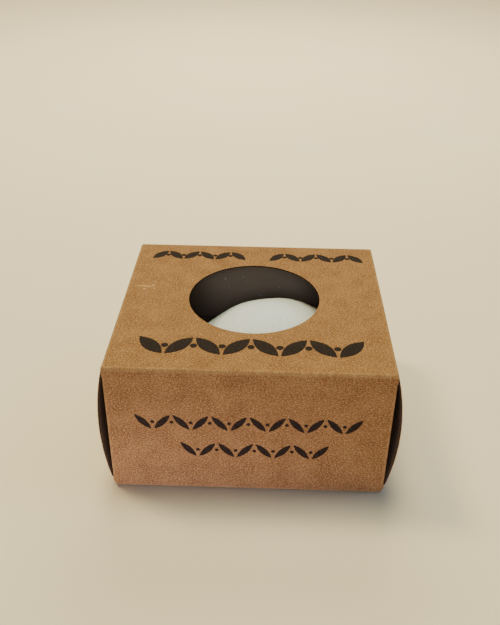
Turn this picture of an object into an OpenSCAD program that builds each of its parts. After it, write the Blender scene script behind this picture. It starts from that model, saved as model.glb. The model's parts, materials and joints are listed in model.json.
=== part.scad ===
// Konjac sponge in its folding window carton.
// The carton stands on the middle of its base at the origin: X runs along the front, Y to the back, Z up.
// It is one creased blank, so each panel between creases is a solid of its own. The ends open at their
// creases, and each crease that opens is a thin round bead on the hinge line.

/* [Sponge] */
// Diameter of the half-ball at its widest
sponge_dia = 66; // [50:0.5:90]
// Height from the flat underside to the crown
sponge_h = 33.7; // [24:0.1:50]
// Height of the rounded lower rim
sponge_rim_h = 4.5; // [2:0.5:8]
// How far the rounded rim draws the underside in
sponge_rim_in = 5; // [2:0.5:9]
// How far the crown leans to the right
crown_side = 3.9; // [-6:0.1:6]
// How far the crown leans to the back
crown_back = 2.5; // [-6:0.1:6]
// Fullness of the dome, where 2 is an ellipse
dome_power = 2.15; // [1.8:0.05:3]

/* [Room in the carton] */
// Free width beside the sponge, both sides together
width_room = 13; // [9:0.5:30]
// Free depth before and behind the sponge together
depth_room = 5.9; // [4:0.1:20]
// Free height over the crown
head_room = 6.6; // [4:0.1:20]
// How far the sponge lies to the right of the middle
sponge_side = 4; // [-4:0.1:4]
// How far the sponge lies behind the middle
sponge_back = 0.8; // [-1.5:0.1:1.2]

/* [Board] */
// Thickness of the board
board_t = 0.5; // [0.35:0.05:0.6]
// Outside radius of the folds along the front and back
fold_r = 0.9; // [0.7:0.05:1.2]

/* [Window] */
// Diameter of the round window
window_dia = 40.5; // [25:0.5:55]
// How far the window's centre lies behind the middle of the top
window_back = 2.3; // [0:0.1:5]
// How far the window's centre lies to the right of the middle
window_side = 0.3; // [-2:0.1:2]

/* [End closures] */
// How far the left closure bulges outward at its middle
left_bulge = 2.6; // [1.2:0.1:4]
// How far the right closure bulges outward at its middle
right_bulge = 2.9; // [1.2:0.1:4]
// Length of the tuck flaps, from crease to tip
tuck_len = 12; // [8:0.5:18]
// Radius of the tuck flaps' corners
tuck_corner_r = 6; // [2:0.5:8]
// How far each side of a tuck flap is cut back from its closure
tuck_shoulder = 1; // [0.4:0.1:3]
// Rise of the tuck flaps towards their tips, in degrees
tuck_tilt = 5; // [3:0.5:8]

/* [Dust flaps] */
// Length of the dust flaps, from crease to free edge
dust_len = 24; // [15:0.5:30]
// Fall of their top edges over each unit of length
dust_fall_share = 0.6; // [0.6:0.05:0.8]
// Rise of their bottom edges over each unit of length
dust_rise_share = 0.06; // [0:0.01:0.1]

/* [Glued seam] */
// Height of the glue flap
glue_flap_h = 14; // [8:0.5:18]
// How far the glue flap's ends stop short of the carton's ends
glue_flap_end = 2.5; // [1.5:0.1:6]
// Taper of the glue flap's ends, from its fold to its top edge
glue_flap_taper = 3.5; // [1:0.5:6]
// Thickness of the glue line
glue_t = 0.1; // [0.05:0.01:0.2]
// Margin of bare board around the glue line
glue_margin = 1.5; // [0.5:0.1:3]

/* [Clearances] */
// Gap between a crease bead and the panel that it turns against
hinge_gap = 0.1; // [0.06:0.02:0.2]
// Gap between a tuck flap's crease bead and its closure, which the flap folds in against
fold_gap = 0.26; // [0.22:0.02:0.4]
// Gap between a closure's side edges and the panels beside them
closure_gap = 0.15; // [0.1:0.05:0.4]
// Gap between a closure and the dust flaps behind it
dust_gap = 0.2; // [0.1:0.05:0.5]
// Gap between the base and the tuck flaps' creases
tuck_gap = 0.35; // [0.3:0.05:0.8]
// Gap between the sponge and the tuck flaps that it lies on
seat_gap = 0.3; // [0.2:0.05:0.6]

/* [Hidden] */

// Smoothness of the long shallow arcs, the round beads and folds, and the window
arc_fn = 720;
bead_fn = 48;
window_fn = 180;
// Sides of the sponge, and its rings on the dome and on the lower rim
sponge_sides = 48;
dome_rings = 16;
rim_rings = 4;
// Overrun of every cut past the faces it opens
over = board_t;

// From the outside of the back panel to the glue flap: the board and the glue line
seam_t = board_t + glue_t;

// Outside sizes of the carton, cut to the sponge and the room around it
carton_w = sponge_dia + width_room + 2 * board_t;
carton_d = sponge_dia + depth_room + 2 * board_t + seam_t;

// The hinge lines: each bead's centre lies in the middle of the board
bead_r = board_t / 2;
axis_x = carton_w / 2 - bead_r;
axis_y = carton_d / 2 - bead_r;
tuck_axis_z = board_t + tuck_gap + bead_r;

// The sponge lies on the raised tips of the tuck flaps
tuck_tip_top = tuck_axis_z + tuck_len * sin(tuck_tilt) + bead_r * cos(tuck_tilt);
sponge_z = tuck_tip_top + seat_gap;
carton_h = sponge_z + sponge_h + head_room + board_t;
top_axis_z = carton_h - bead_r;

// Where a panel stops beside a bead
hinge_x = axis_x - bead_r - hinge_gap;

// The closures: straight chord between their creases, and their width
closure_chord = top_axis_z - tuck_axis_z;
closure_mid_z = (top_axis_z + tuck_axis_z) / 2;
closure_w = carton_d - 2 * (board_t + closure_gap);

// Radius of a shallow arc over a chord, from its height
function arc_radius(chord, height) = (chord * chord / 4 + height * height) / (2 * height);

// Distance from a closure's crease at which it has bulged clear of a dust flap
function dust_relief(bulge) =
    let (r = arc_radius(closure_chord, bulge), clear = r - bulge + board_t + dust_gap)
    closure_chord / 2 - sqrt(r * r - clear * clear);

// Lower and upper ends of a dust flap's crease
function dust_low(bulge) = tuck_axis_z + dust_relief(bulge);
function dust_high(bulge) = top_axis_z - dust_relief(bulge);

board_colour = "#b2834e";
glue_colour = "#d9d2c0";
sponge_colour = "#d8d4c8";

// A fold between two panels: a quarter of a tube along X, with its outside towards -Y and -Z
module fold(length) {
    rotate([90, 0, 90])
        linear_extrude(height = length, center = true)
            intersection() {
                difference() {
                    circle(r = fold_r, $fn = bead_fn);
                    circle(r = fold_r - board_t, $fn = bead_fn);
                }
                translate([-fold_r, -fold_r])
                    square(fold_r);
            }
}

// The slot in a side panel that leaves room for a dust flap's crease, on one side
module dust_notch(bulge, side) {
    low = dust_low(bulge) - hinge_gap;
    high = dust_high(bulge) + hinge_gap;
    translate([side > 0 ? hinge_x : -hinge_x - board_t - over, -over, low])
        cube([board_t + over, board_t + 2 * over, high - low]);
}

module dust_notches() {
    dust_notch(left_bulge, -1);
    dust_notch(right_bulge, 1);
}

module window_panel() {
    color(board_colour)
    difference() {
        union() {
            translate([-carton_w / 2, -carton_d / 2 + fold_r, carton_h - board_t])
                cube([carton_w, carton_d - 2 * fold_r, board_t]);
            for (turn = [0, 180])
                rotate([0, 0, turn])
                    translate([0, -carton_d / 2 + fold_r, carton_h - fold_r])
                        rotate([-90, 0, 0])
                            fold(carton_w);
        }
        translate([window_side, window_back, carton_h - board_t - over])
            cylinder(h = board_t + 2 * over, d = window_dia, $fn = window_fn);
        for (turn = [0, 180])
            rotate([0, 0, turn])
                translate([hinge_x, -closure_w / 2 - hinge_gap, carton_h - fold_r - over])
                    cube([board_t + over, closure_w + 2 * hinge_gap, fold_r + 2 * over]);
    }
}

module front_panel() {
    color(board_colour)
    translate([0, -carton_d / 2, 0])
        difference() {
            translate([-carton_w / 2, 0, fold_r])
                cube([carton_w, board_t, carton_h - 2 * fold_r]);
            dust_notches();
        }
}

module back_panel() {
    color(board_colour)
    translate([0, carton_d / 2 - board_t, 0])
        difference() {
            translate([-carton_w / 2, 0, 0])
                cube([carton_w, board_t, carton_h - fold_r]);
            dust_notches();
        }
}

// The base, with the fold up to the front panel
module bottom_panel() {
    color(board_colour)
    union() {
        translate([-carton_w / 2, -carton_d / 2 + fold_r, 0])
            cube([carton_w, carton_d - 2 * fold_r - seam_t, board_t]);
        translate([0, -carton_d / 2 + fold_r, fold_r])
            fold(carton_w);
    }
}

// Outline of the glue flap above its fold, tapered at both ends and drawn in by a margin
module glue_outline(margin) {
    root = carton_w / 2 - glue_flap_end - margin;
    tip = root - glue_flap_taper;
    polygon([[-root, fold_r + margin], [root, fold_r + margin],
             [tip, glue_flap_h - margin], [-tip, glue_flap_h - margin]]);
}

module glue_flap() {
    color(board_colour)
    translate([0, carton_d / 2 - seam_t, 0])
        union() {
            rotate([90, 0, 0])
                linear_extrude(height = board_t)
                    glue_outline(0);
            translate([0, -fold_r, fold_r])
                rotate([90, 0, 0])
                    fold(carton_w - 2 * glue_flap_end);
        }
}

module glue_line() {
    color(glue_colour)
    translate([0, carton_d / 2 - board_t, 0])
        rotate([90, 0, 0])
            linear_extrude(height = glue_t)
                glue_outline(glue_margin);
}

// The right closure: an arched sheet that hangs from its round crease
module closure(bulge) {
    r = arc_radius(closure_chord, bulge);
    low = tuck_axis_z + bead_r + fold_gap;
    color(board_colour)
    rotate([90, 0, 0])
        linear_extrude(height = closure_w, center = true)
            union() {
                intersection() {
                    translate([axis_x + bulge - r, closure_mid_z])
                        difference() {
                            circle(r = r + bead_r, $fn = arc_fn);
                            circle(r = r - bead_r, $fn = arc_fn);
                        }
                    translate([axis_x - board_t, low])
                        square([bulge + 2 * board_t, top_axis_z - low]);
                }
                translate([axis_x, top_axis_z])
                    circle(r = bead_r, $fn = bead_fn);
            }
}

module left_closure() mirror([1, 0, 0]) closure(left_bulge);
module right_closure() closure(right_bulge);

// The right tuck flap: a sheet with rounded inner corners, rising inward from its round crease
module tuck_flap() {
    root_w = closure_w - 2 * tuck_shoulder;
    color(board_colour)
    translate([axis_x, 0, tuck_axis_z])
        rotate([0, tuck_tilt, 0])
            union() {
                linear_extrude(height = board_t, center = true)
                    union() {
                        translate([tuck_corner_r - tuck_len, -root_w / 2])
                            square([tuck_len - tuck_corner_r, root_w]);
                        translate([-tuck_len, tuck_corner_r - root_w / 2])
                            square([tuck_corner_r, root_w - 2 * tuck_corner_r]);
                        for (side = [-1, 1])
                            translate([tuck_corner_r - tuck_len, side * (root_w / 2 - tuck_corner_r)])
                                circle(r = tuck_corner_r, $fn = bead_fn);
                    }
                rotate([90, 0, 0])
                    cylinder(h = root_w, r = bead_r, center = true, $fn = bead_fn);
            }
}

module left_tuck_flap() mirror([1, 0, 0]) tuck_flap();
module right_tuck_flap() tuck_flap();

// The right front dust flap: a sheet narrowed towards its free edge, on an upright round crease
module dust_flap(bulge) {
    low = dust_low(bulge);
    high = dust_high(bulge);
    reach = dust_len + over;
    color(board_colour)
    translate([axis_x, -axis_y, 0])
        intersection() {
            translate([0, 0, low - over])
                linear_extrude(height = high - low + 2 * over)
                    union() {
                        circle(r = bead_r, $fn = bead_fn);
                        translate([-bead_r, 0])
                            square([board_t, dust_len]);
                    }
            rotate([90, 0, 90])
                linear_extrude(height = 2 * board_t, center = true)
                    polygon([[-board_t, low], [0, low], [reach, low + dust_rise_share * reach],
                             [reach, high - dust_fall_share * reach], [0, high], [-board_t, high]]);
        }
}

module left_front_dust_flap() mirror([1, 0, 0]) dust_flap(left_bulge);
module left_back_dust_flap() mirror([1, 0, 0]) mirror([0, 1, 0]) dust_flap(left_bulge);
module right_front_dust_flap() dust_flap(right_bulge);
module right_back_dust_flap() mirror([0, 1, 0]) dust_flap(right_bulge);

// Half-outline of the sponge, as [radius, height, share of the crown's lean], from underside to crown
sponge_r = sponge_dia / 2;
sponge_outline = concat(
    [for (i = [0 : rim_rings - 1])
        let (a = 90 * i / rim_rings)
        [sponge_r - sponge_rim_in * (1 - sin(a)), sponge_rim_h * (1 - cos(a)), 0]],
    [for (i = [0 : dome_rings - 1])
        let (a = 90 * i / dome_rings, rise_share = pow(sin(a), 2 / dome_power))
        [sponge_r * pow(cos(a), 2 / dome_power),
         sponge_rim_h + (sponge_h - sponge_rim_h) * rise_share, rise_share]]
);

module sponge() {
    rings = len(sponge_outline);
    base = rings * sponge_sides;
    points = concat(
        [for (p = sponge_outline, s = [0 : sponge_sides - 1])
            let (a = 360 * s / sponge_sides)
            [p[0] * cos(a) + crown_side * p[2], p[0] * sin(a) + crown_back * p[2], p[1]]],
        [[0, 0, 0], [crown_side, crown_back, sponge_h]]
    );
    sides = [
        for (k = [0 : rings - 2], s = [0 : sponge_sides - 1])
            let (n = (s + 1) % sponge_sides,
                 a = k * sponge_sides + s, b = k * sponge_sides + n,
                 c = a + sponge_sides, d = b + sponge_sides)
            each [[a, c, b], [b, c, d]]
    ];
    underside = [for (s = [0 : sponge_sides - 1]) [base, s, (s + 1) % sponge_sides]];
    crown = [
        for (s = [0 : sponge_sides - 1])
            let (last = (rings - 1) * sponge_sides)
            [base + 1, last + (s + 1) % sponge_sides, last + s]
    ];
    color(sponge_colour)
    translate([sponge_side, sponge_back, sponge_z])
        polyhedron(points = points, faces = concat(sides, underside, crown));
}

window_panel();
front_panel();
bottom_panel();
back_panel();
glue_flap();
glue_line();
left_closure();
right_closure();
left_tuck_flap();
right_tuck_flap();
left_front_dust_flap();
left_back_dust_flap();
right_front_dust_flap();
right_back_dust_flap();
sponge();
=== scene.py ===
"""A half-ball konjac sponge in its folding kraft carton with a round window.

The carton is one creased blank of board, kraft outside and black inside. Each piece here is that board as
it lies after folding: the wrap of four panels, two end closures, two tuck flaps and four dust flaps. A
flap's piece holds its crease too. Lengths are in metres.
"""

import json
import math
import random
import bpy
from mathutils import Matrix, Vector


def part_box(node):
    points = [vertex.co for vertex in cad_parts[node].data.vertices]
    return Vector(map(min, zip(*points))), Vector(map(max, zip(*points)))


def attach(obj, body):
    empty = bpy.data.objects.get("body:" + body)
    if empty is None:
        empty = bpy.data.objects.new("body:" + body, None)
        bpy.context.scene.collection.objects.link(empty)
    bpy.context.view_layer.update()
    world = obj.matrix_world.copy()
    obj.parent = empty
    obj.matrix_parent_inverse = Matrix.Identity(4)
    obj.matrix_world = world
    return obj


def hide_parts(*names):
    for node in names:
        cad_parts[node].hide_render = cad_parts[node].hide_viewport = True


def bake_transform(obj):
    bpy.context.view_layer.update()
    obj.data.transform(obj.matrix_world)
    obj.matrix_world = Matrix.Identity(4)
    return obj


bl_info = {
    "name": "Konjac Sponge in a Window Carton",
    "version": (1, 0, 0),
    "blender": (4, 5, 0),
    "location": "View3D > Sidebar > Konjac Sponge",
    "description": "Makes a half-ball konjac sponge in its folded kraft carton with a round window",
    "category": "Object",
}

import bpy
import numpy as np
from bpy.props import FloatProperty, FloatVectorProperty, IntProperty, PointerProperty
from mathutils import Matrix, Vector, noise

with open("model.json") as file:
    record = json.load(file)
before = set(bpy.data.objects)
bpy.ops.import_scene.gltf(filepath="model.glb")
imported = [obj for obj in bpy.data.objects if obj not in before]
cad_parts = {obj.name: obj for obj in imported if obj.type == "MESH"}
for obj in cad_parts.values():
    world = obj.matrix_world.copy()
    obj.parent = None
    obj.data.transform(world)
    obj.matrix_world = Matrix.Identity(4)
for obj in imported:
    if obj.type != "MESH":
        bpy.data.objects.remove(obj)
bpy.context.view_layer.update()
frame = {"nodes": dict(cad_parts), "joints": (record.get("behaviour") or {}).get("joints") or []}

MM = 0.001
X, Y, Z = 0, 1, 2
SIDES = {"left": -1, "right": 1}
DEPTHS = {"front": -1, "back": 1}

# Places closer than this are the same place
SAME_PLACE = 0.01 * MM


def node_points(node):
    """The vertices of a node of the frame."""
    vertices = frame["nodes"][node].data.vertices
    places = np.empty(len(vertices) * 3)
    vertices.foreach_get("co", places)
    return places.reshape(-1, 3)


def end_points(node, axis, end):
    """The vertices of a node that lie at its low end (-1) or high end (1) along an axis."""
    points = node_points(node)
    limit = (points[:, axis] * end).max()
    return points[points[:, axis] * end > limit - SAME_PLACE]


def joint_place(name):
    """Where a crease's axis crosses the middle of its crease."""
    return Vector(next(j for j in frame["joints"] if j["name"] == name)["pos_m"])


# The carton's own sizes, as the frame has them
FRONT_LOW, FRONT_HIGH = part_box("front_panel")
BOARD_T = FRONT_HIGH.y - FRONT_LOW.y
CARTON_W = FRONT_HIGH.x - FRONT_LOW.x
CARTON_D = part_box("back_panel")[1].y - FRONT_LOW.y
CARTON_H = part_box("window_panel")[1].z
FOLD_R = FRONT_LOW.z
GLUE_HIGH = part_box("glue_flap")[1]
GLUE_TIP_HALF = end_points("glue_flap", Z, 1)[:, X].max()

# The window: the vertices of its panel that lie well inside the panel's outline
WINDOW_INSET = 8 * MM
WINDOW_POINTS = node_points("window_panel")
WINDOW_POINTS = WINDOW_POINTS[
    (abs(WINDOW_POINTS[:, X]) < CARTON_W / 2 - WINDOW_INSET)
    & (abs(WINDOW_POINTS[:, Y]) < CARTON_D / 2 - WINDOW_INSET)
]
WINDOW_CENTRE = (WINDOW_POINTS.max(0) + WINDOW_POINTS.min(0))[:2] / 2
WINDOW_R = (WINDOW_POINTS[:, X].max() - WINDOW_POINTS[:, X].min()) / 2

# The wrap ends here where a flap's crease begins
HINGE_GAP = 0.1 * MM
HINGE_X = joint_place("right_closure_crease").x - BOARD_T / 2 - HINGE_GAP


def linear(code):
    """The linear colour of an sRGB hex code."""
    channels = [int(code[i:i + 2], 16) / 255 for i in (1, 3, 5)]
    return tuple(c / 12.92 if c <= 0.04045 else ((c + 0.055) / 1.055) ** 2.4 for c in channels)


def opaque(colour):
    """A colour with full alpha, as a socket takes it."""
    return (*colour, 1)


def colour_setting(name, description, code):
    """A colour that a user can change, from its sRGB hex code."""
    return FloatVectorProperty(
        name=name, description=description, default=linear(code), subtype="COLOR", min=0, max=1)


def length_setting(name, description, default, low, high):
    """A length that a user can change, from millimetres."""
    return FloatProperty(
        name=name, description=description, default=default * MM, min=low * MM, max=high * MM,
        unit="LENGTH")


def power_setting(name, description, default):
    """A lamp's power that a user can change, in watts."""
    return FloatProperty(name=name, description=description, default=default, min=0, max=500, unit="POWER")


def angle_setting(name, description, degrees):
    """An angle that a user can change."""
    return FloatProperty(name=name, description=description, default=math.radians(degrees), unit="ROTATION")


class BoardSettings(bpy.types.PropertyGroup):
    """Sizes and colours of the creased board."""

    crease_radius: length_setting(
        "Crease radius", "Outside radius of the creases that a flap turns on", 0.58, 0.52, 0.9)
    liner: length_setting("Kraft liner", "Thickness of the brown layer at a cut edge", 0.14, 0.05, 0.3)
    ripple: length_setting("Ripple", "How far the panels dip between their creases", 0.28, 0, 1)
    ripple_length: length_setting("Ripple length", "Distance over which a panel dips and rises", 26, 8, 80)
    # The pale band beside a crease: partly worn fibres, partly a painted highlight where the fold turns to
    # the light
    wear: length_setting("Crease wear", "Width of the pale worn board beside a crease", 0.4, 0, 2)
    cell: length_setting("Cell", "Distance between the rows of points on a flat panel", 1.5, 0.5, 5)
    fold_steps: IntProperty(
        name="Fold steps", description="Rows of faces round a fold", default=9, min=4, max=24)
    light: colour_setting("Kraft, light", "Colour of the paler patches of the kraft face", "#aa7a45")
    dark: colour_setting("Kraft, dark", "Colour of the darker patches of the kraft face", "#7f5327")
    fleck: colour_setting("Pale fibres", "Colour of the pale fibres in the kraft face", "#bc9663")
    shive: colour_setting("Dark fibres", "Colour of the dark fibres in the kraft face", "#533619")
    # Pale rubbed board for the scuffs, and for the crease band, which is partly a painted highlight
    worn_and_highlit: colour_setting("Worn board", "Colour of the board where it has rubbed", "#b68d56")
    ink: colour_setting("Ink", "Colour of the printed rows of leaves", "#19120d")
    inside: colour_setting("Inside", "Colour of the black inner face", "#4a4038")
    # Painted light: the pale tan that stands in for light falling on the black inner face through the
    # window
    painted_lit_inside: colour_setting(
        "Inside, dusty", "Colour of the black inner face under the fine dust of the foam", "#937b59")
    core: colour_setting("Cut edge", "Colour of the board's dark core at a cut edge", "#33261c")


class SpongeSettings(bpy.types.PropertyGroup):
    """Sizes and colours of the sponge, and the glue's colour."""

    rim_height: length_setting("Rim height", "Height of the rounded lower rim", 4.5, 1, 8)
    rim_inset: length_setting("Rim inset", "How far the lower rim draws the underside in", 5, 1, 9)
    fullness: FloatProperty(
        name="Fullness", description="Fullness of the dome, where 2 is an ellipse",
        default=2.15, min=1.8, max=3)
    pore: length_setting("Pore spacing", "Distance between the larger pores", 2.1, 1, 6)
    pore_depth: length_setting("Pore depth", "Depth of the larger pores", 0.35, 0, 1.5)
    swell: length_setting("Swell", "Depth of the broad dips of the dried surface", 0.5, 0, 2)
    detail: IntProperty(
        name="Detail", description="Subdivisions of the ball that the sponge is shaped from",
        default=7, min=4, max=8)
    foam: colour_setting("Foam", "Colour of the dried foam", "#d7d9d0")
    # Painted shade in the fine pores of the foam; the glue's thicker patches take this colour too, as their
    # own tone
    pore_shade_and_glue_tone: colour_setting("Pores", "Colour inside the pores", "#b3b19b")
    glue: colour_setting("Glue", "Colour of the dried glue in the seam", "#d9d2c0")


class StageSettings(bpy.types.PropertyGroup):
    """The floor, the lights and the camera."""

    floor: colour_setting("Floor", "Colour of the paper floor", "#f4dcb1")
    sky: colour_setting("Room light", "Colour of the even light of the studio", "#ffe8c4")
    warm: colour_setting("Warm lamp", "Colour of the high lamp on the left", "#ffedc4")
    cool: colour_setting("Cool lamps", "Colour of the lamps in front and on the right", "#c2d2ff")
    pale: colour_setting("Overhead lamp", "Colour of the near lamp overhead", "#faffdb")
    soft: colour_setting("Back lamp", "Colour of the lamp over the floor behind", "#fff7e6")
    bounce: colour_setting("Low lamp", "Colour of the low lamp in front", "#d7d0ff")
    daylight: colour_setting("Fill lamp", "Colour of the fill in front, as cool as daylight", "#8ccaff")
    sky_strength: FloatProperty(
        name="Room strength", description="Strength of the even light of the studio",
        default=0.01, min=0, max=5)
    sky_seen: FloatProperty(
        name="Room brightness", description="How bright the studio looks beyond the floor",
        default=1.25, min=0, max=5)
    left_power: power_setting("Left power", "Power of the high lamp on the left, a little behind", 79.4)
    right_power: power_setting("Right power", "Power of the high lamp on the right", 7.3)
    top_power: power_setting("Overhead power", "Power of the near lamp overhead", 16.1)
    back_power: power_setting("Back power", "Power of the lamp over the floor behind", 2.7)
    front_power: power_setting("Front power", "Power of the lamp in front, for the pieces alone", 4.6)
    low_power: power_setting("Low power", "Power of the low lamp in front, for the pieces alone", 0.03)
    fill_power: power_setting("Fill power", "Power of the fill in front, for the floor alone", 32)
    focal_length: FloatProperty(
        name="Focal length", description="Focal length of the camera, in millimetres",
        default=43.1, min=20, max=200)
    camera_place: FloatVectorProperty(
        name="Camera", description="Where the camera stands",
        default=(4.24 * MM, -196.96 * MM, 163.84 * MM), subtype="TRANSLATION", unit="LENGTH")
    camera_dip: angle_setting("Dip", "How far the camera looks down", 32.34)
    camera_turn: angle_setting("Turn", "How far the camera is turned to the left", 1.5)
    camera_roll: angle_setting("Roll", "How far the camera is rolled", 0.66)


def add_node(tree, kind, inputs, output=0, **settings):
    """Adds a node with its settings, links or sets the inputs named, and gives one of its outputs."""
    node = tree.nodes.new(f"ShaderNode{kind}")
    for name, value in settings.items():
        setattr(node, name, value)
    for socket, value in inputs.items():
        if isinstance(value, bpy.types.NodeSocket):
            tree.links.new(value, node.inputs[socket])
        else:
            node.inputs[socket].default_value = value
    return node.outputs[output]


def worked_out(tree, known, steps):
    """A sum worked out in steps. Each is a new name, an operation, and two numbers or known names."""
    for name, operation, first, second in steps:
        terms = {0: known.get(first, first), 1: known.get(second, second)}
        known[name] = add_node(tree, "Math", terms, operation=operation)
    return known[name]


def new_material(name, roughness, ior, gloss=0.5):
    """A material and its node tree, with the shader's even values set. gloss is its specular level."""
    material = bpy.data.materials.new(name)
    material.use_nodes = True
    shader = material.node_tree.nodes["Principled BSDF"]
    shader.inputs["Roughness"].default_value = roughness
    shader.inputs["IOR"].default_value = ior
    shader.inputs["Specular IOR Level"].default_value = gloss
    return material, material.node_tree


def dress(tree, base, layers, bump=None):
    """Gives the shader its colour, and its relief if it has one.

    Each layer is where it lies, how much it covers there, and the colour that it lays over those before it.
    bump is the height, how strong it looks, and its real depth.
    """
    shader = tree.nodes["Principled BSDF"]
    colour = opaque(base)
    for where, cover, over in layers:
        share = add_node(tree, "Math", {0: where, 1: cover}, operation="MULTIPLY")
        inputs = {0: share, 6: colour, 7: opaque(over)}
        colour = add_node(tree, "Mix", inputs, 2, data_type="RGBA")
    tree.links.new(colour, shader.inputs["Base Color"])
    if bump:
        height, strength, depth = bump
        inputs = {"Height": height, "Strength": strength, "Distance": depth}
        tree.links.new(add_node(tree, "Bump", inputs), shader.inputs["Normal"])


def fibres(tree, place, length, width, low, high):
    """Short strands along the blank's grain: 1 in a strand, 0 beside it."""
    stretch = (1 / length, 1 / width, 1 / width)
    stretched = add_node(tree, "VectorMath", {0: place, 1: stretch}, operation="MULTIPLY")
    inputs = {"Vector": stretched, "Scale": 1.0, "Detail": 1.5, "Distortion": 0.4}
    strands = add_node(tree, "TexNoise", inputs)
    return add_node(tree, "MapRange", {"Value": strands, "From Min": low, "From Max": high})


# How far a leaf leans from its row
LEAF_TILT = math.radians(48)


def leaf_row(tree, across, along, row):
    """A printed row of leaves, tilted up and down by turns, with dots between them: 1 where ink lies."""
    centre, height, half_length, pitch, leaf_length, leaf_width, dot_r = row
    return worked_out(tree, {"across": across, "along": along}, [
        ("u", "SUBTRACT", "across", centre),
        ("v", "SUBTRACT", "along", height),
        ("cells", "DIVIDE", "u", pitch),
        ("cell", "FLOOR", "cells", 0),
        ("in cell", "SUBTRACT", "cells", "cell"),
        ("past middle", "SUBTRACT", "in cell", 0.5),
        ("cell u", "MULTIPLY", "past middle", pitch),
        ("odd", "FLOORED_MODULO", "cell", 2),
        ("twice odd", "MULTIPLY", "odd", 2),
        ("by turns", "SUBTRACT", "twice odd", 1),
        ("cell v", "MULTIPLY", "v", "by turns"),
        ("u forward", "MULTIPLY", "cell u", math.cos(LEAF_TILT)),
        ("v forward", "MULTIPLY", "cell v", math.sin(LEAF_TILT)),
        ("lengthways", "ADD", "u forward", "v forward"),
        ("u aside", "MULTIPLY", "cell u", math.sin(LEAF_TILT)),
        ("v aside", "MULTIPLY", "cell v", math.cos(LEAF_TILT)),
        ("sideways", "SUBTRACT", "v aside", "u aside"),
        ("to tip", "DIVIDE", "lengthways", leaf_length / 2),
        ("to tip squared", "MULTIPLY", "to tip", "to tip"),
        ("narrowing", "SUBTRACT", 1, "to tip squared"),
        ("half width", "MULTIPLY", "narrowing", leaf_width / 2),
        ("off midrib", "ABSOLUTE", "sideways", 0),
        ("leaf", "LESS_THAN", "off midrib", "half width"),
        ("off cell", "ABSOLUTE", "cell u", 0),
        ("to dot", "SUBTRACT", "off cell", pitch / 2),
        ("to dot squared", "MULTIPLY", "to dot", "to dot"),
        ("v squared", "MULTIPLY", "v", "v"),
        ("distance squared", "ADD", "to dot squared", "v squared"),
        ("distance", "SQRT", "distance squared", 0),
        ("any dot", "LESS_THAN", "distance", dot_r),
        ("from centre", "ABSOLUTE", "u", 0),
        ("dotted part", "LESS_THAN", "from centre", half_length - pitch / 4),
        ("dot", "MULTIPLY", "any dot", "dotted part"),
        ("leaf or dot", "MAXIMUM", "leaf", "dot"),
        ("printed part", "LESS_THAN", "from centre", half_length),
        ("ink", "MULTIPLY", "leaf or dot", "printed part"),
    ])


def scuffed(tree, across, along, scuffs):
    """Short scratches and specks where the face has rubbed: 1 in the middle of one, below 0 beside it."""
    others = -1.0
    for centre, height, half_length, half_width in scuffs:
        others = worked_out(tree, {"across": across, "along": along, "others": others}, [
            ("u", "SUBTRACT", "across", centre),
            ("v", "SUBTRACT", "along", height),
            ("to end", "DIVIDE", "u", half_length),
            ("to side", "DIVIDE", "v", half_width),
            ("to end squared", "MULTIPLY", "to end", "to end"),
            ("to side squared", "MULTIPLY", "to side", "to side"),
            ("reach", "ADD", "to end squared", "to side squared"),
            ("scuff", "SUBTRACT", 1, "reach"),
            ("any scuff", "MAXIMUM", "others", "scuff"),
        ])
    return others


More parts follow.
